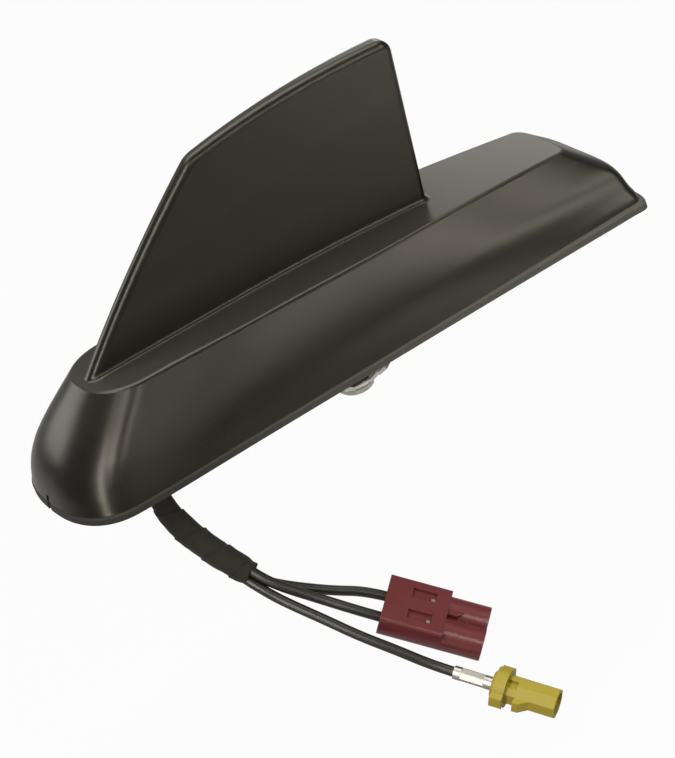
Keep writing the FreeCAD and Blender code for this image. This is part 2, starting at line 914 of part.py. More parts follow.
def cable_grommet():
    bore = wrap_diameter / 2 + wrap_clearance
    profile = [
        V(bore, 0, base_top + grommet_flange_height),
        V(grommet_flange_radius, 0, base_top + grommet_flange_height),
        V(grommet_flange_radius, 0, base_top),
        V(grommet_neck_radius, 0, base_top),
        V(grommet_neck_radius, 0, rim),
        V(grommet_flange_radius, 0, rim),
        V(grommet_flange_radius, 0, rim - grommet_flange_height),
        V(grommet_neck_radius, 0, 0),
        V(grommet_spout_radius, 0, -grommet_spout_drop),
        V(bore, 0, -grommet_spout_drop),
    ]
    body = Part.Face(Part.makePolygon(profile + profile[:1])).revolve(V(0, 0, 0), V(0, 0, 1), 360)
    body.translate(at(cable_station))
    return body


# Plugs, modelled along local X from the rear face and then placed where the leads end
def rod(radius, x0, x1, y=0.0):
    return Part.makeCylinder(radius, x1 - x0, V(x0, y, 0), V(1, 0, 0))


def twin_plug_housing():
    """A flat-topped body whose sides and belly run on into the two barrels."""
    side = twin_pitch / 2
    wide = side + twin_barrel_radius
    body = block(0, twin_block_length, -wide, wide, 0, twin_top)
    ridges = [e for e in body.Edges if e.BoundBox.XLength > 1 and e.BoundBox.ZMin > 0.5 * twin_top]
    body = body.makeFillet(twin_edge, ridges)
    body = body.fuse(block(0, twin_block_length, -side, side, -twin_barrel_radius, 0))
    for port in twin_ports():
        body = body.fuse(rod(twin_barrel_radius, 0, twin_length, port))
    web_end = twin_length - twin_web_setback
    body = body.fuse(block(twin_block_length, web_end, -side, side, -twin_barrel_radius, -twin_web_drop))
    start = twin_block_length
    key = [
        V(start, 0, twin_key_height),
        V(start + 0.6 * twin_key_length, 0, twin_key_height),
        V(start + twin_key_length, 0.5 * side, twin_key_height),
        V(start + twin_key_length, side, twin_key_height),
        V(start, side, twin_key_height),
    ]
    body = body.fuse(prism(key, V(0, 0, twin_key_sheet)))
    top = twin_top
    for port in twin_ports():
        body = body.cut(rod(contact_radius + contact_gap, 0, twin_bore_start, port))
        body = body.cut(rod(twin_bore_radius, twin_bore_start, twin_length, port))
        low, high = port - twin_window_half, port + twin_window_half
        body = body.cut(block(twin_window_start, twin_window_end, low, high, top - twin_window_depth, top))
        eye = block(twin_window_end - twin_eye_length, twin_window_end, low, low + 2 * twin_eye_half, 0, top)
        body = body.cut(eye)
    return moved(body.removeSplitter(), twin_frame())


def twin_ports():
    return (-twin_pitch / 2, twin_pitch / 2)


def contact_shell(x0, x1, y):
    shell = rod(contact_radius, x0, x1, y)
    return shell.cut(rod(contact_bore, x0 + contact_back, x1, y))


def insulator(x0, y):
    start = x0 + contact_back
    body = rod(contact_bore - insulator_gap, start, start + insulator_length, y)
    return body.cut(rod(pin_radius + pin_gap, start, start + insulator_length, y))


def centre_pin(x0, x1, y):
    start = x0 + contact_back
    pin = rod(pin_radius, start, x1, y)
    return pin.makeChamfer(0.4 * pin_radius, [e for e in pin.Edges if e.BoundBox.XMin > x1 - 0.01])


def twin_plug_contacts():
    """Two shells, each with a lance that stands up in the window of the housing."""
    shells = []
    for port in twin_ports():
        low = port - twin_window_half + 2 * contact_gap
        x1 = twin_window_end - 2 * contact_gap
        x0 = twin_window_end - twin_eye_length + 2 * contact_gap
        lance = block(x0, x1, low, low + 2 * twin_eye_half - 4 * contact_gap, 0, twin_lance_top)
        lance = lance.cut(rod(0.5 * (contact_radius + contact_bore), 0, twin_length, port))
        shells.append(contact_shell(contact_recess, twin_bore_start, port).fuse(lance))
    return moved(Part.makeCompound(shells), twin_frame())


def twin_plug_insulators():
    return moved(Part.makeCompound([insulator(contact_recess, port) for port in twin_ports()]), twin_frame())


def twin_plug_pins():
    pins = [centre_pin(contact_recess, twin_bore_start, port) for port in twin_ports()]
    return moved(Part.makeCompound(pins), twin_frame())


def lone_plug_housing():
    flange_end = lone_collar_length + lone_flange_length
    reach, half = lone_tab_reach, lone_tab_half
    tabs = block(lone_collar_length, flange_end, -reach, reach, -half, half)
    tabs = tabs.makeFillet(0.5 * half, [e for e in tabs.Edges if e.BoundBox.XLength > 1])
    flange = tabs.fuse(rod(lone_flange_radius, lone_collar_length, flange_end)).removeSplitter()
    body = flange.fuse(rod(lone_collar_radius, 0, lone_collar_length))
    half = lone_barrel_half
    barrel = block(flange_end, lone_length, -half, half, -half, half)
    barrel = barrel.makeChamfer(lone_barrel_corner, [e for e in barrel.Edges if e.BoundBox.XLength > 1])
    body = body.fuse(barrel)
    lock_start = flange_end + lone_window_length
    lock_end = lock_start + lone_lock_length
    lock = [
        V(lock_start, -half, -lone_lock_half),
        V(lock_start, -half - lone_lock_height, -lone_lock_half),
        V(lock_start + 0.4 * lone_lock_length, -half - lone_lock_height, -lone_lock_half),
        V(lock_end, -half, -lone_lock_half),
    ]
    body = body.fuse(prism(lock, V(0, 0, 2 * lone_lock_half)))
    body = body.cut(rod(contact_radius + contact_gap, 0, lone_bore_start))
    body = body.cut(rod(lone_bore_radius, lone_bore_start, lone_length))
    low = half - lone_window_depth
    window = block(flange_end, lock_start, -2 * lone_window_half, 0, low, half + 1)
    return moved(body.cut(window).removeSplitter(), lone_frame())


def lone_plug_contact():
    """A shell with a stem at its back, over which the ferrule is crimped."""
    stem = rod(lead_diameter / 2, -crimp_stem_length, 0)
    return moved(contact_shell(0, lone_bore_start, 0).fuse(stem), lone_frame())


def lone_plug_insulator():
    return moved(insulator(0, 0), lone_frame())


def lone_plug_pin():
    return moved(centre_pin(0, lone_bore_start, 0), lone_frame())


def crimp_ferrule():
    tube = rod(ferrule_radius, -ferrule_length, 0)
    hex_start = -ferrule_length + ferrule_hex_start
    prism_end = hex_start + ferrule_hex_length
    radius = ferrule_hex_flats / math.sqrt(3)
    points = []
    for k in range(6):
        points.append(V(hex_start, radius * math.cos(math.pi / 3 * k), radius * math.sin(math.pi / 3 * k)))
    waist = prism(points, V(ferrule_hex_length, 0, 0))
    band = rod(2 * ferrule_radius, hex_start, prism_end)
    tube = tube.cut(band.cut(waist))
    tube = tube.cut(rod(lead_diameter / 2 + ferrule_gap, -ferrule_length, 0))
    return moved(tube, lone_frame())


def pieces():
    made = {
        "fin_cover": fin_cover(),
        "base_plate": base_plate(),
        "roof_gasket": roof_gasket(),
        "cover_screws": cover_screws(),
        "mounting_bolt": mounting_bolt(),
        "retaining_claw": retaining_claw(),
        "cable_grommet": cable_grommet(),
        "main_board": main_board(),
        "board_screws": board_screws(),
        "satellite_patch": satellite_patch(),
        "gnss_patch": gnss_patch(),
        "patch_pins": patch_pins(),
        "amplifier_shield": amplifier_shield(),
        "blade_holder": blade_holder(),
        "cellular_blade": cellular_blade(),
        "second_cell_element": second_cell_element(),
        "lead_tails": lead_tails(),
        "harness_wrap": harness_wrap(),
        "twin_plug_housing": twin_plug_housing(),
        "twin_plug_contacts": twin_plug_contacts(),
        "twin_plug_insulators": twin_plug_insulators(),
        "twin_plug_pins": twin_plug_pins(),
        "lone_plug_housing": lone_plug_housing(),
        "lone_plug_contact": lone_plug_contact(),
        "lone_plug_insulator": lone_plug_insulator(),
        "lone_plug_pin": lone_plug_pin(),
        "crimp_ferrule": crimp_ferrule(),
    }
    made.update(leads())
    return made


def main():
    os.makedirs("parts", exist_ok=True)
    for name, shape in pieces().items():
        state = "valid" if shape.isValid() else "NOT VALID"
        print(name, state, "solids", len(shape.Solids), "volume", round(shape.Volume, 1))
        shape.exportStep(os.path.join("parts", name + ".step"))


main()
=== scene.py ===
# %% [markdown]
# A car's roof antenna: a black fin cover on a soft gasket, a bolt and claw below it, and three thin
# coaxial leads that leave through one taped bundle and end in two coloured plugs.
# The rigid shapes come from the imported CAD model, which is loaded as a fixed frame in metres.
# This script dresses them: finishes, the leads as soft curves, the wound tape, the thread, light and camera.

# %% Load the frame
import json
import math

import bpy
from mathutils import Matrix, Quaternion, Vector


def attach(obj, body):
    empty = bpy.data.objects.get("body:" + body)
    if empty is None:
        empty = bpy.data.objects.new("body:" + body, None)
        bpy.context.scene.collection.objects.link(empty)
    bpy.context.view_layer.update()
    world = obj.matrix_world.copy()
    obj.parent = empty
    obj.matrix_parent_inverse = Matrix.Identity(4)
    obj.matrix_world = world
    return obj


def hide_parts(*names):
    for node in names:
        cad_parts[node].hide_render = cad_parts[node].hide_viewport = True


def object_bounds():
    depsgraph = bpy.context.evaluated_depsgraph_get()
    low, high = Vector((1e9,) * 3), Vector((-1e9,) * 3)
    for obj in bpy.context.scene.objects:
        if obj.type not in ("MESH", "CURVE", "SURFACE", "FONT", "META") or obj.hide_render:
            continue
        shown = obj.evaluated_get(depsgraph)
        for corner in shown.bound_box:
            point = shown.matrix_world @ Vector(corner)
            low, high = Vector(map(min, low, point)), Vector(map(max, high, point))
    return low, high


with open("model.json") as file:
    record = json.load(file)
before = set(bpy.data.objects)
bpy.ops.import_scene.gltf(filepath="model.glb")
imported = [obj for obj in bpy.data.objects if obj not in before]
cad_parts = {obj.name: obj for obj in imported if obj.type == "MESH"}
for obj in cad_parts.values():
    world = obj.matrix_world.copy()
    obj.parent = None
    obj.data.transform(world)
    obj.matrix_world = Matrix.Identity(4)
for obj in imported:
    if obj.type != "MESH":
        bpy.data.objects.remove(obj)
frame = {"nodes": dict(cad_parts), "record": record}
cad_low, cad_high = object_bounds()
MM = 0.001
print("CAD box", [round(v, 4) for v in (*cad_low, *cad_high)])

# %% [markdown]
# The photograph looks at the near side from a little above, with the camera rolled so that the nose is
# low on the left. A long lens keeps the long sides nearly parallel. The place and turn below come from
# fitting a camera to the outline, so the render can be laid over the picture.

# %% Camera
lens_mm, sensor_mm, nearest_seen = 142.48, 36.0, 0.05
camera_place = (-0.25529, -0.68558, 0.37979)
camera_turn = Quaternion((0.802752, 0.513789, 0.005276, -0.302625))
camera_data = bpy.data.cameras.new("camera")
camera_data.lens = lens_mm
camera_data.sensor_width = sensor_mm
camera_data.clip_start = nearest_seen
camera = bpy.data.objects.new("camera", camera_data)
camera.location = camera_place
camera.rotation_mode = "QUATERNION"
camera.rotation_quaternion = camera_turn
bpy.context.collection.objects.link(camera)
bpy.context.scene.camera = camera
print("camera distance", round(camera.location.length, 3))

# %% [markdown]
# Node trees are easier to read as formulas. A Wire stands for one output socket, and arithmetic on it adds
# Math nodes. A Bench holds one tree and makes any node from its type, its settings and its inputs. Shader
# trees and geometry trees share both.

# %% Wires and benches
class Wire:
    """One output socket that takes part in Python arithmetic."""

    def __init__(self, bench, socket):
        self.bench = bench
        self.socket = socket

    def math(self, operation, first, second=0.0):
        return self.bench.node("ShaderNodeMath", {"operation": operation}, {0: first, 1: second})

    def __add__(self, other):
        return self.math("ADD", self, other)

    def __radd__(self, other):
        return self.math("ADD", other, self)

    def __sub__(self, other):
        return self.math("SUBTRACT", self, other)

    def __rsub__(self, other):
        return self.math("SUBTRACT", other, self)

    def __mul__(self, other):
        return self.math("MULTIPLY", self, other)

    def __rmul__(self, other):
        return self.math("MULTIPLY", other, self)

    def __truediv__(self, other):
        return self.math("DIVIDE", self, other)

    def __rtruediv__(self, other):
        return self.math("DIVIDE", other, self)

    def __pow__(self, other):
        return self.math("POWER", self, other)

    def fraction(self):
        return self.math("FRACT", self)

    def sine(self):
        return self.math("SINE", self)

    def between(self, low, high):
        """Zero below low, one above high and a smooth rise from one to the other."""
        settings = {"interpolation_type": "SMOOTHSTEP"}
        return self.bench.node("ShaderNodeMapRange", settings, {"Value": self, 1: low, 2: high})


class Bench:
    """A node tree and one method that makes any node in it."""

    def __init__(self, tree):
        self.tree = tree

    def node(self, kind, settings=None, values=None, output=0):
        made = self.tree.nodes.new(kind)
        for key, value in (settings or {}).items():
            setattr(made, key, value)
        for key, value in (values or {}).items():
            if isinstance(value, Wire):
                self.tree.links.new(value.socket, made.inputs[key])
            else:
                made.inputs[key].default_value = value
        return Wire(self, made.outputs[output])

    def close(self, kind, last, socket="Surface"):
        """Lead the last wire into the tree's output node."""
        output = self.tree.nodes.new(kind)
        self.tree.links.new(last.socket, output.inputs[socket])


def empty_tree(owner):
    """The cleared node tree of a new material or world."""
    owner.use_nodes = True
    owner.node_tree.nodes.clear()
    return owner.node_tree


def rgb(r, g, b):
    return (r, g, b, 1.0)


# %% [markdown]
# Every finish on the object is one Principled shader. What varies over a surface, such as colour, roughness
# and small relief, comes from noise on Object coordinates, so it stays on the piece when the piece is
# exported. Constant values are written on the shader's own sockets.

# %% Finish
class Finish(Bench):
    """A material with one Principled shader, whose varying inputs are given as wires."""

    def __init__(self, name):
        self.material = bpy.data.materials.new(name)
        super().__init__(empty_tree(self.material))
        self.place = self.node("ShaderNodeTexCoord", output="Object")

    def noise(self, scale, detail=3.0, rough=0.5, place=None):
        return self.node(
            "ShaderNodeTexNoise",
            values={"Vector": place or self.place, "Scale": scale, "Detail": detail, "Roughness": rough},
        )

    def stretched(self, scale):
        return self.node("ShaderNodeMapping", values={"Vector": self.place, "Scale": scale})

    def axis(self, vector, letter):
        return self.node("ShaderNodeSeparateXYZ", values={0: vector}, output=letter)

    def blend(self, share, first, second):
        return self.node(
            "ShaderNodeMix",
            {"data_type": "RGBA", "clamp_factor": True},
            {"Factor": share, 6: first, 7: second},
            output=2,
        )

    def bump(self, height, strength, distance, edge=0.0, edge_samples=6):
        """Small relief, and edges that catch the light as if they had this radius."""
        values = {"Height": height, "Strength": strength, "Distance": distance}
        if edge:
            values["Normal"] = self.node("ShaderNodeBevel", {"samples": edge_samples}, {"Radius": edge})
        return self.node("ShaderNodeBump", values=values)

    def done(self, values):
        self.close("ShaderNodeOutputMaterial", self.node("ShaderNodeBsdfPrincipled", values=values))
        return self.material


# %% [markdown]
# The cover is injection-moulded black plastic with a fine spark-eroded grain. Its black is warm. The faces that
# look up are painted lighter, partly as handling dust and partly as painted light from above, and faint dust
# streaks lie elsewhere, so the colour follows the surface's direction. The grain is a small bump, and the gloss
# varies slowly.

# %% Cover plastic
def make_cover_plastic():
    f = Finish("cover_plastic")
    cloud = f.noise(26.0, 4.0, 0.6)
    grain = f.noise(2600.0, 2.0, 0.6)
    streak = f.noise(60.0, 3.0, 0.5, f.stretched((0.25, 1.0, 2.5)))
    facing = f.node("ShaderNodeNewGeometry", output="Normal")
    # Faces that look up are painted lighter: partly dust, partly painted light from above.
    upward_dust_and_light = f.axis(facing, "Z").between(0.7, 0.98)
    dust_and_top_light = 0.12 * streak.between(0.45, 0.8) + upward_dust_and_light * (0.5 + 0.3 * streak)
    black, dusty_lit_tone = rgb(0.0045, 0.0042, 0.0031), rgb(0.034, 0.032, 0.0255)
    return f.done(
        {
            "Base Color": f.blend(dust_and_top_light, black, dusty_lit_tone),
            "Roughness": 0.24 + 0.06 * cloud + 0.04 * grain,
            "Normal": f.bump(grain, 0.12, 0.05 * MM),
            "Specular IOR Level": 0.31,
            "Specular Tint": rgb(1.0, 0.95, 0.83),
        }
    )


# %% [markdown]
# The gasket is soft black rubber. Its edge is painted lighter grey along the tail half, as painted light from
# the tail side, and stays dark at the nose as painted shade. The painted light is therefore a slow change along
# the object's length.

# %% Gasket rubber
# Where the painted light on the gasket starts and where it is full, along the object's length.
tail_light_starts, tail_light_full = -75.0 * MM, 30.0 * MM


def make_gasket_rubber():
    f = Finish("gasket_rubber")
    cloud = f.noise(45.0, 4.0, 0.6)
    grain = f.noise(1900.0, 3.0, 0.6)
    # Painted light: the rubber is lighter towards the tail and dark at the nose.
    tail_painted_light = f.axis(f.place, "X").between(tail_light_starts, tail_light_full) * (0.7 + 0.3 * cloud)
    black, lit_rubber_tone = rgb(0.014, 0.0134, 0.0105), rgb(0.056, 0.054, 0.044)
    return f.done(
        {
            "Base Color": f.blend(tail_painted_light, black, lit_rubber_tone),
            "Roughness": 0.62 + 0.16 * cloud,
            "Normal": f.bump(grain, 0.3, 0.1 * MM),
            "Specular IOR Level": 0.35,
        }
    )


# %% [markdown]
# The bundle is wound with woven cloth tape. Its weave follows the tape and not the room, so it reads a UV map
# that the wound mesh brings along: U counts threads around the bundle, V counts threads along it.

# %% Cloth tape
def make_cloth_tape():
    f = Finish("cloth_tape")
    wound = f.node("ShaderNodeUVMap", {"uv_map": "weave"})
    across, along = f.axis(wound, "X"), f.axis(wound, "Y")
    weave = (across * (2 * math.pi)).sine() * (along * (2 * math.pi)).sine()
    fluff = f.noise(1300.0, 4.0, 0.7)
    cloud = f.noise(160.0, 3.0, 0.6)
    worn = 0.6 * cloud + 0.4 * fluff
    black, greyed = rgb(0.0085, 0.0082, 0.0056), rgb(0.021, 0.0205, 0.0155)
    return f.done(
        {
            "Base Color": f.blend(worn, black, greyed),
            "Roughness": 0.82 + 0.12 * fluff,
            "Normal": f.bump(0.35 * weave + 0.65 * fluff, 0.5, 0.16 * MM),
            "Specular IOR Level": 0.25,
            "Sheen Weight": 0.06,
            "Sheen Roughness": 0.5,
        }
    )


# %% [markdown]
# The metals differ in colour and polish but share one make: a slow stain over a fine brushed grain. The plain
# plastics, rubbers and boards share another: a slow cloud over a moulded grain. The plugs are sharp-edged
# solids, and real moulded edges are a quarter of a millimetre round, so their finishes carry an edge radius.

# %% Metals and plain plastics
def make_metal(name, dark, light, roughness, stretch=(1.0, 1.0, 6.0), relief=0.04 * MM):
    f = Finish(name)
    brushed = f.noise(420.0, 4.0, 0.6, f.stretched(stretch))
    stain = f.noise(110.0, 3.0, 0.5)
    return f.done(
        {
            "Base Color": f.blend(stain, rgb(*dark), rgb(*light)),
            "Metallic": 1.0,
            "Roughness": roughness + 0.14 * stain + 0.06 * brushed,
            "Normal": f.bump(brushed, 0.25, relief),
        }
    )


def make_plastic(name, dark, light, roughness, grain_scale=1500.0, edge=0.0, gloss=0.5):
    f = Finish(name)
    cloud = f.noise(70.0, 4.0, 0.6)
    grain = f.noise(grain_scale, 2.0, 0.5)
    return f.done(
        {
            "Base Color": f.blend(cloud, rgb(*dark), rgb(*light)),
            "Roughness": roughness + 0.12 * cloud + 0.05 * grain,
            "Normal": f.bump(grain, 0.25, 0.06 * MM, edge),
            "Specular IOR Level": gloss,
        }
    )


# %% [markdown]
# Each row below is one slot of the record: its dark and its light colour, its lowest roughness, and what else
# sets it apart. The casting has no brushing direction, the plug contacts and the ferrule are nearly smooth, and
# the leads have a coarse grain. The leads and the mustard plug mirror a little less than the other plastics.

# %% All finishes
even = (1.0, 1.0, 1.0)
metals = [
    ("base_casting", (0.36, 0.36, 0.36), (0.5, 0.5, 0.5), 0.42, {"stretch": even, "relief": 0.1 * MM}),
    ("screw_steel", (0.5, 0.49, 0.45), (0.66, 0.66, 0.63), 0.3, {}),
    ("bolt_steel", (0.30, 0.29, 0.25), (0.52, 0.51, 0.46), 0.3, {}),
    ("spring_steel", (0.58, 0.58, 0.56), (0.76, 0.76, 0.74), 0.26, {}),
    ("tin_plate", (0.55, 0.55, 0.53), (0.7, 0.7, 0.68), 0.28, {}),
    ("contact_tin", (0.29, 0.28, 0.255), (0.44, 0.425, 0.39), 0.28, {"relief": 0.012 * MM}),
    ("contact_brass", (0.62, 0.44, 0.19), (0.8, 0.62, 0.32), 0.28, {}),
]
bordeaux = (0.08, 0.0098, 0.0122), (0.104, 0.0162, 0.0184)
mustard = (0.222, 0.174, 0.0078), (0.272, 0.214, 0.0128)
jacket = (0.0085, 0.0082, 0.006), (0.014, 0.0135, 0.0105)
plastics = [
    ("grommet_rubber", (0.012, 0.012, 0.011), (0.022, 0.022, 0.02), 0.6, {}),
    ("board_green", (0.02, 0.1, 0.045), (0.035, 0.16, 0.07), 0.36, {"grain_scale": 900.0}),
    ("patch_ceramic", (0.5, 0.45, 0.36), (0.62, 0.57, 0.47), 0.55, {"grain_scale": 1200.0}),
    ("holder_plastic", (0.03, 0.03, 0.03), (0.05, 0.05, 0.05), 0.5, {}),
    ("lead_jacket", *jacket, 0.24, {"grain_scale": 900.0, "gloss": 0.4}),
    ("bordeaux_plastic", *bordeaux, 0.22, {"edge": 0.25 * MM}),
    ("mustard_plastic", *mustard, 0.4, {"edge": 0.3 * MM, "gloss": 0.4}),
    ("insulator_white", (0.7, 0.7, 0.66), (0.8, 0.8, 0.77), 0.4, {}),
]
finishes = {
    "cover_plastic": make_cover_plastic(),
    "gasket_rubber": make_gasket_rubber(),
    "cloth_tape": make_cloth_tape(),
}
for make, rows in ((make_metal, metals), (make_plastic, plastics)):
    for name, dark, light, roughness, extras in rows:
        finishes[name] = make(name, dark, light, roughness, **extras)
print("finishes", len(finishes))

# %% [markdown]
# Every CAD node keeps its shape and takes the finish of its material slot.

# %% Dress the CAD nodes
slot_of = {part["node"]: part["material_slot"] for part in frame["record"]["subparts"]}
for name, piece in frame["nodes"].items():
    piece.data.materials.clear()
    piece.data.materials.append(finishes[slot_of[name]])
print("dressed nodes", len(slot_of))

# %% [markdown]
# A coaxial lead is a soft round cord. Its line is a NURBS curve through the air near the control points,
# which are the same points as the CAD route, so it swings smoothly where the CAD tube has arcs. Each point
# carries the cord's radius and the bevel is one, so that the curve's own box stays as small as the cord.

# %% Leads
def lay_line(name, route, radius):
    data = bpy.data.curves.new(name, "CURVE")
    data.dimensions = "3D"
    spline = data.splines.new("NURBS")
    spline.points.add(len(route) - 1)
    for point, (x, y, z) in zip(spline.points, route):
        point.co = (x * MM, y * MM, z * MM, 1.0)
        point.radius = radius * MM
    spline.order_u = 3
    spline.use_endpoint_u = True
    spline.resolution_u = 16
    line = bpy.data.objects.new(name, data)
    bpy.context.collection.objects.link(line)
    return line


lead_diameter = 2.8
lead_routes = {
    "cell_lead_far": [
        (-55.42, -18.79, -37.36),
        (-54.11, -21.27, -39.59),
        (-51.6, -23.5, -41.8),
        (-47.0, -26.6, -44.7),
        (-39.5, -31.6, -48.6),
        (-31.97, -36.18, -51.62),
        (-26.13, -41.29, -56.17),
    ],
    "cell_lead_near": [
        (-55.89, -20.77, -35.43),
        (-54.41, -23.57, -37.94),
        (-51.3, -27.5, -41.5),
        (-45.6, -32.0, -46.5),
        (-37.52, -41.54, -52.72),
        (-31.68, -46.65, -57.28),
    ],
    "satellite_lead": [
        (-57.88, -20.14, -37.31),
        (-56.21, -23.28, -40.13),
        (-53.4, -29.7, -43.8),
        (-47.3, -38.5, -50.2),
        (-42.2, -46.2, -55.8),
        (-36.5, -52.9, -61.2),
        (-30.65, -59.27, -67.43),
        (-25.7, -65.9, -70.96),
    ],
}
for name, route in lead_routes.items():
    cord = lay_line(name + "_cord", route, lead_diameter / 2)
    cord.data.bevel_depth = 1.0
    cord.data.bevel_resolution = 8
    cord.data.use_fill_caps = True
    cord.data.materials.append(finishes["lead_jacket"])
    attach(cord, "root")
    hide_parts(name)
print("leads", len(lead_routes))

# %% [markdown]
# Two things on this object follow a path by a rule: the tape winds round the bundle, and the thread winds
# round the bolt. Both are Geometry Nodes trees. A Recipe builds one tree with named inputs, runs it once on a
# host object and hands back a plain mesh, because only plain meshes are kept.

# %% Recipes
class Recipe(Bench):
    """A geometry tree with named number inputs, which ends in real geometry with a material."""

    def __init__(self, name, inputs):
        tree = bpy.data.node_groups.new(name, "GeometryNodeTree")
        tree.interface.new_socket("Geometry", in_out="INPUT", socket_type="NodeSocketGeometry")
        tree.interface.new_socket("Geometry", in_out="OUTPUT", socket_type="NodeSocketGeometry")
        for label in inputs:
            tree.interface.new_socket(label, in_out="INPUT", socket_type="NodeSocketFloat")
        super().__init__(tree)
        self.inputs = inputs
        self.entry = tree.nodes.new("NodeGroupInput")

    def given(self, label):
        return Wire(self, self.entry.outputs[label])

    def keep(self, geometry, label, value):
        settings = {"data_type": "FLOAT", "domain": "POINT"}
        values = {"Geometry": geometry, "Name": label, "Value": value}
        return self.node("GeometryNodeStoreNamedAttribute", settings, values)

    def kept(self, label):
        return self.node("GeometryNodeInputNamedAttribute", {"data_type": "FLOAT"}, {"Name": label})

    def end(self, geometry, material):
        real = self.node("GeometryNodeRealizeInstances", values={0: geometry})
        smooth = self.node("GeometryNodeSetShadeSmooth", values={0: real, "Shade Smooth": True})
        values = {"Geometry": smooth, "Material": material}
        self.close("NodeGroupOutput", self.node("GeometryNodeSetMaterial", values=values), 0)

    def run(self, host):
        modifier = host.modifiers.new(self.tree.name, "NODES")
        modifier.node_group = self.tree
        for item in self.tree.interface.items_tree:
            if item.in_out == "INPUT" and item.name in self.inputs:
                modifier[item.identifier] = float(self.inputs[item.name])
        mesh = plain_mesh(host)
        host.modifiers.remove(modifier)
        return mesh


def plain_mesh(made):
    """What an object evaluates to, as a mesh: a curve without bevel gives a chain of edges."""
    graph = bpy.context.evaluated_depsgraph_get()
    return bpy.data.meshes.new_from_object(made.evaluated_get(graph))


def add_host(name, mesh):
    host = bpy.data.objects.new(name, mesh)
    bpy.context.collection.objects.link(host)
    return host


def add_piece(name, mesh):
    piece = bpy.data.objects.new(name, mesh)
    bpy.context.collection.objects.link(piece)
    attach(piece, "root")
    return piece


# %% [markdown]
# The wrap is cloth tape wound half over itself from the antenna downwards. Each turn starts with a raised edge
# and sinks under the next one, so the outline has small steps, and the cut edges fray. The bundle is thin where
# it leaves the base, thickest two thirds of the way down and pulled in at its end. A swept tube with these
# offsets in the tree keeps that rule in a few named sizes.

# %% Tape wrap
wrap_diameter = 7.0
wrap_route = [
    (-64.9, 0.0, 2.4),
    (-65.4, 0.0, -8.0),
    (-65.5, -3.2, -18.0),
    (-62.6, -8.6, -25.9),
    (-59.4, -14.4, -31.9),
    (-55.6, -20.9, -37.3),
]
wrap_inputs = {
    "Radius": 0.5 * wrap_diameter * MM,
    "Turn Pitch": 8.5 * MM,
    "Lap Step": 0.3 * MM,
    "Fray": 0.4 * MM,
    "Lump": 0.5 * MM,
    "Seed": 4.0,
}
rings_along, points_around = 260, 72
lump_scale, thread_scale = 260.0, 1500.0
edge_wander, fray_sharpness, usual_thread = 0.1, 14.0, 0.42
threads_around, threads_per_metre = 44, 2000.0


def wrap_width(share):
    """The bundle's width along its way, as a share of its radius."""
    thin_start = 0.80 + 0.20 * share.between(0.18, 0.62)
    return thin_start - 0.16 * share.between(0.93, 1.0)


def seeded_noise(r, scale):
    values = {"W": r.given("Seed"), "Scale": scale}
    return r.node("ShaderNodeTexNoise", {"noise_dimensions": "4D"}, values)


def wind_tape(r):
    along = r.node("GeometryNodeSplineParameter", output="Length")
    share = r.node("GeometryNodeSplineParameter", output="Factor")
    line = r.node("GeometryNodeMeshToCurve", values={0: r.given("Geometry")})
    values = {"Curve": line, "Count": rings_along}
    line = r.node("GeometryNodeResampleCurve", {"mode": "COUNT"}, values)
    line = r.keep(r.keep(line, "along", along), "share", share)
    values = {"Resolution": points_around, "Radius": r.given("Radius")}
    ring = r.keep(r.node("GeometryNodeCurvePrimitiveCircle", values=values), "turn", share)
    values = {"Curve": line, "Profile Curve": ring, "Fill Caps": True}
    tube = r.node("GeometryNodeCurveToMesh", values=values)
    wobble = seeded_noise(r, lump_scale)
    thread = seeded_noise(r, thread_scale)
    turns = r.kept("along") / r.given("Turn Pitch") + r.kept("turn") + edge_wander * wobble
    since_edge = turns.fraction()
    lap = (1.0 - since_edge) * r.given("Lap Step")
    near_edge = (1.0 - since_edge) ** fray_sharpness
    frayed = near_edge * (thread - usual_thread) * r.given("Fray") * 2.0
    lump = (wobble - 0.5) * r.given("Lump")
    shrink = (wrap_width(r.kept("share")) - 1.0) * r.given("Radius")
    push = shrink + lap + frayed + lump
    outwards = r.node("GeometryNodeInputNormal")
    offset = r.node("ShaderNodeVectorMath", {"operation": "SCALE"}, {0: outwards, "Scale": push})
    return r.node("GeometryNodeSetPosition", values={"Geometry": tube, "Offset": offset})


def add_weave_map(mesh):
    """U counts threads around and is one whole turn further on the far side of the seam."""
    turn = [value.value for value in mesh.attributes["turn"].data]
    along = [value.value for value in mesh.attributes["along"].data]
    layer = mesh.uv_layers.new(name="weave")
    for face in mesh.polygons:
        seen = [turn[v] for v in face.vertices]
        crosses = max(seen) - min(seen) > 0.5
        for corner, vertex in zip(face.loop_indices, face.vertices):
            share = turn[vertex] + (1.0 if crosses and turn[vertex] < 0.5 else 0.0)
            layer.data[corner].uv = (share * threads_around, along[vertex] * threads_per_metre)


wrap_line = lay_line("wrap_line", wrap_route, 0.5 * wrap_diameter)
wrap_host = add_host("wrap_host", plain_mesh(wrap_line))
tape = Recipe("tape_wrap", wrap_inputs)
tape.end(wind_tape(tape), finishes["cloth_tape"])
wrap_mesh = tape.run(wrap_host)
add_weave_map(wrap_mesh)
for used in (wrap_line, wrap_host):
    bpy.data.objects.remove(used)
wrap = add_piece("harness_wrap_cord", wrap_mesh)
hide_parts("harness_wrap")
print("tape wrap faces", len(wrap_mesh.polygons))

# %% [markdown]
# The bolt's shank shows between the tower and the claw's ring. Its thread is one ridge that climbs by a fixed
# pitch, so a helix swept with a small pointed section is the whole recipe.

# %% Bolt thread
thread_inputs = {
    "Root Radius": 3.82 * MM,
    "Ridge": 0.42 * MM,
    "Pitch": 1.25 * MM,
    "Bottom": -13.0 * MM,
    "Length": 5.2 * MM,
}
points_per_round, ridge_corners = 48, 4


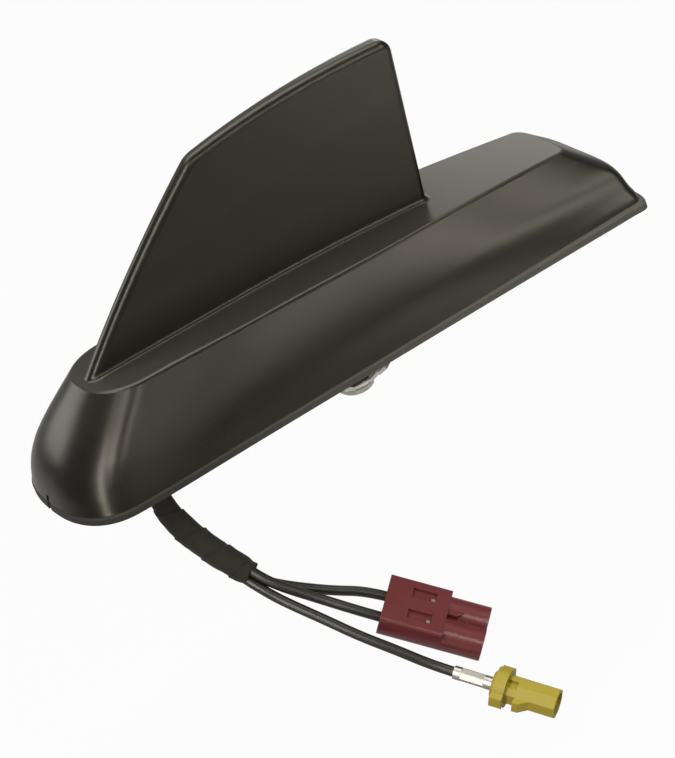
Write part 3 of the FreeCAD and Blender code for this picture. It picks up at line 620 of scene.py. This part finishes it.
def wind_thread(r):
    rounds = r.given("Length") / r.given("Pitch")
    helix = r.node(
        "GeometryNodeCurveSpiral",
        values={
            "Resolution": points_per_round,
            "Rotations": rounds,
            "Start Radius": r.given("Root Radius"),
            "End Radius": r.given("Root Radius"),
            "Height": r.given("Length"),
        },
    )
    lift = r.node("ShaderNodeCombineXYZ", values={"Z": r.given("Bottom")})
    helix = r.node("GeometryNodeSetPosition", values={"Geometry": helix, "Offset": lift})
    values = {"Resolution": ridge_corners, "Radius": r.given("Ridge")}
    section = r.node("GeometryNodeCurvePrimitiveCircle", values=values)
    values = {"Curve": helix, "Profile Curve": section, "Fill Caps": True}
    return r.node("GeometryNodeCurveToMesh", values=values)


thread_host = add_host("thread_host", bpy.data.meshes.new("thread_host"))
thread = Recipe("bolt_thread", thread_inputs)
thread.end(wind_thread(thread), finishes["bolt_steel"])
thread_mesh = thread.run(thread_host)
bpy.data.objects.remove(thread_host)
add_piece("bolt_thread", thread_mesh)
print("thread faces", len(thread_mesh.polygons))

# %% [markdown]
# The set is one plain floor just below the plugs and an even world. To the camera both are white. Reflections
# see only a share of that white, because the cover is a deep black that a white room would turn grey. Seen
# from below the floor is clear, so that the underside can be looked at.

# %% Floor and world
floor_reach, floor_gap = 6.0, 4.0 * MM
white_to_camera, white_in_reflections = 0.95, 0.2
world_light = 0.05


def light_paths(bench):
    """How a surface is seen: by the camera, in a reflection, through something clear."""
    names = ("Is Camera Ray", "Is Glossy Ray", "Is Transmission Ray")
    return [bench.node("ShaderNodeLightPath", output=name) for name in names]


def make_floor_white():
    material = bpy.data.materials.new("floor_white")
    bench = Bench(empty_tree(material))
    camera_ray, glossy, through = light_paths(bench)
    plain = bench.node("ShaderNodeBsdfDiffuse", values={"Color": rgb(0.36, 0.36, 0.352)})
    white = bench.node("ShaderNodeEmission", values={"Color": rgb(1, 1, 1), "Strength": 1.0})
    share = camera_ray * white_to_camera + (glossy + through) * white_in_reflections
    mixed = bench.node("ShaderNodeMixShader", values={0: share, 1: plain, 2: white})
    from_below = bench.node("ShaderNodeNewGeometry", output="Backfacing")
    clear = bench.node("ShaderNodeBsdfTransparent")
    sided = bench.node("ShaderNodeMixShader", values={0: from_below, 1: mixed, 2: clear})
    bench.close("ShaderNodeOutputMaterial", sided)
    return material


def make_world():
    world = bpy.data.worlds.new("studio")
    bench = Bench(empty_tree(world))
    camera_ray, glossy, through = light_paths(bench)
    lift_to_white = 1.0 - world_light
    strength = world_light + lift_to_white * (camera_ray + through) + white_in_reflections * glossy
    values = {"Color": rgb(1, 1, 1), "Strength": strength}
    bench.close("ShaderNodeOutputWorld", bench.node("ShaderNodeBackground", values=values))
    bpy.context.scene.world = world


floor_height = cad_low.z - floor_gap
corners = [(-1, -1), (1, -1), (1, 1), (-1, 1)]
floor_mesh = bpy.data.meshes.new("floor")
floor_mesh.from_pydata(
    [(x * floor_reach, y * floor_reach, floor_height) for x, y in corners], [], [(0, 1, 2, 3)]
)
floor_mesh.materials.append(make_floor_white())
floor = bpy.data.objects.new("floor", floor_mesh)
bpy.context.collection.objects.link(floor)
make_world()
print("floor at", round(floor_height, 4))

# %% [markdown]
# Black plastic shows its form mostly through what it reflects, so the light is a set of soft panels, each
# placed where one face of the cover mirrors it towards the camera. Together with the large panel overhead they
# are brighter than a plain level: the plugs render up to twice as bright as their colours are written. A small
# lamp lights a pool of floor for the fin to mirror.

# %% Lamps
lamp_colour = (1.0, 0.97, 0.91)
middle = (0.0, 0.0, 0.02)
panel_distance = 1.1


def add_lamp(name, place, aim, size, power, spread=180.0):
    data = bpy.data.lights.new(name, "AREA")
    data.shape = "RECTANGLE"
    data.size, data.size_y = size
    data.energy = power
    data.spread = math.radians(spread)
    data.color = lamp_colour
    lamp = bpy.data.objects.new(name, data)
    lamp.location = place
    lamp.rotation_mode = "QUATERNION"
    lamp.rotation_quaternion = (Vector(aim) - Vector(place)).to_track_quat("-Z", "Y")
    bpy.context.collection.objects.link(lamp)


def towards(azimuth, elevation):
    """A point round the object: azimuth from the tail towards the far side, elevation above the roof plane."""
    a, e = math.radians(azimuth), math.radians(elevation)
    way = Vector((math.cos(e) * math.cos(a), math.cos(e) * math.sin(a), math.sin(e)))
    return panel_distance * way


panels = [
    # name, azimuth, elevation, width and height in metres, watts
    ("back_panel", 58, 13, (0.44, 0.25), 0.95),
    ("nose_far_panel", 122, 18, (0.4, 0.3), 1.4),
    ("front_panel", -62, 19, (0.62, 0.24), 3.5),
    ("front_high_panel", -91, 34, (0.38, 0.14), 2.0),
    ("edge_panel", -129, 42, (0.24, 0.3), 3.2),
    ("tail_panel", -42, 36, (0.4, 0.3), 2.5),
    ("nose_panel", -151, 28, (0.14, 0.9), 8.2),
]
add_lamp("sky_panel", (0.05, 0.25, 1.2), middle, (1.3, 0.9), 17.0)
for name, azimuth, elevation, size, power in panels:
    add_lamp(name, towards(azimuth, elevation), middle, size, power)
pool_x, pool_y, pool_spread = 0.32, -0.51, 60.0
pool_lamp, pool_floor = (pool_x, pool_y, 0.02), (pool_x, pool_y, -0.1)
add_lamp("floor_pool", pool_lamp, pool_floor, (0.3, 0.3), 4.6, pool_spread)
bpy.context.scene.view_settings.view_transform = "Standard"
print("lamps", len(panels) + 2)

# %% [markdown]
# Last, the view layer is updated.

# %% Update
bpy.context.view_layer.update()
